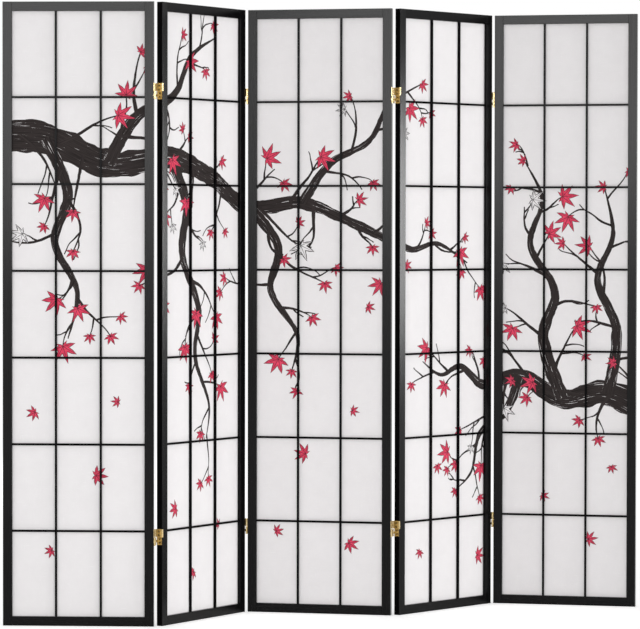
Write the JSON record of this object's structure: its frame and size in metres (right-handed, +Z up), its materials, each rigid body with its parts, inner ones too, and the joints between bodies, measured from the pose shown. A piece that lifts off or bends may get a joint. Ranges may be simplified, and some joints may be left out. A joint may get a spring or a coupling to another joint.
{
  "type": "folding shoji screen",
  "caption": "Free-standing folding room divider: black wooden lattice panels with translucent paper, joined by two-way brass hinges and folding flat like a concertina.",
  "frame": {"origin": "on the floor, under the middle of the screen's overall box as it stands in the picture", "axes": "+X along the screen's run towards the last panel, +Y to the back, +Z up; the front faces -Y"},
  "size_m": [1.9273, 0.3616, 1.778],
  "materials": {
    "frame": "satin black lacquer",
    "lattice": "satin black lacquer",
    "paper": "matte translucent",
    "brass": "polished"
  },
  "bodies": {
    "panel_1": {"panel_1_left_stile": "frame", "panel_1_right_stile": "frame", "panel_1_top_rail": "frame", "panel_1_bottom_rail": "frame", "panel_1_front_lattice": "lattice", "panel_1_back_lattice": "lattice", "panel_1_paper": "paper", "panel_1_hinge_screws": "brass", "hinge_12_left_leaves": "brass", "hinge_12_lower_links": "brass", "hinge_12_pins": "brass"},
    "panel_2": {"panel_2_left_stile": "frame", "panel_2_right_stile": "frame", "panel_2_top_rail": "frame", "panel_2_bottom_rail": "frame", "panel_2_front_lattice": "lattice", "panel_2_back_lattice": "lattice", "panel_2_paper": "paper", "panel_2_hinge_screws": "brass", "hinge_12_right_leaves": "brass", "hinge_12_upper_links": "brass", "hinge_23_left_leaves": "brass", "hinge_23_upper_links": "brass", "hinge_23_pins": "brass"},
    "panel_3": {"panel_3_left_stile": "frame", "panel_3_right_stile": "frame", "panel_3_top_rail": "frame", "panel_3_bottom_rail": "frame", "panel_3_front_lattice": "lattice", "panel_3_back_lattice": "lattice", "panel_3_paper": "paper", "panel_3_hinge_screws": "brass", "hinge_23_right_leaves": "brass", "hinge_23_lower_links": "brass", "hinge_34_left_leaves": "brass", "hinge_34_lower_links": "brass", "hinge_34_pins": "brass"},
    "panel_4": {"panel_4_left_stile": "frame", "panel_4_right_stile": "frame", "panel_4_top_rail": "frame", "panel_4_bottom_rail": "frame", "panel_4_front_lattice": "lattice", "panel_4_back_lattice": "lattice", "panel_4_paper": "paper", "panel_4_hinge_screws": "brass", "hinge_34_right_leaves": "brass", "hinge_34_upper_links": "brass", "hinge_45_left_leaves": "brass", "hinge_45_upper_links": "brass", "hinge_45_pins": "brass"},
    "panel_5": {"panel_5_left_stile": "frame", "panel_5_right_stile": "frame", "panel_5_top_rail": "frame", "panel_5_bottom_rail": "frame", "panel_5_front_lattice": "lattice", "panel_5_back_lattice": "lattice", "panel_5_paper": "paper", "panel_5_hinge_screws": "brass", "hinge_45_right_leaves": "brass", "hinge_45_lower_links": "brass"}
  },
  "joints": [
    {"name": "fold_12", "type": "hinge", "parent": "panel_2", "child": "panel_1", "pos_m": [-0.54411, -0.15548, 0.889], "axis": [0, 0, -1], "range_deg": [-61, 116]},
    {"name": "fold_23", "type": "hinge", "parent": "panel_3", "child": "panel_2", "pos_m": [-0.20594, 0.12391, 0.889], "axis": [0, 0, 1], "range_deg": [-71, 106]},
    {"name": "fold_34", "type": "hinge", "parent": "panel_3", "child": "panel_4", "pos_m": [0.19108, -0.06261, 0.889], "axis": [0, 0, 1], "range_deg": [-61.5, 115.5]},
    {"name": "fold_45", "type": "hinge", "parent": "panel_4", "child": "panel_5", "pos_m": [0.57073, 0.15714, 0.889], "axis": [0, 0, -1], "range_deg": [-61.5, 115.5]}
  ],
  "couplings": [
    {"joint": "fold_45", "follows": "fold_34", "ratio": 1}
  ]
}
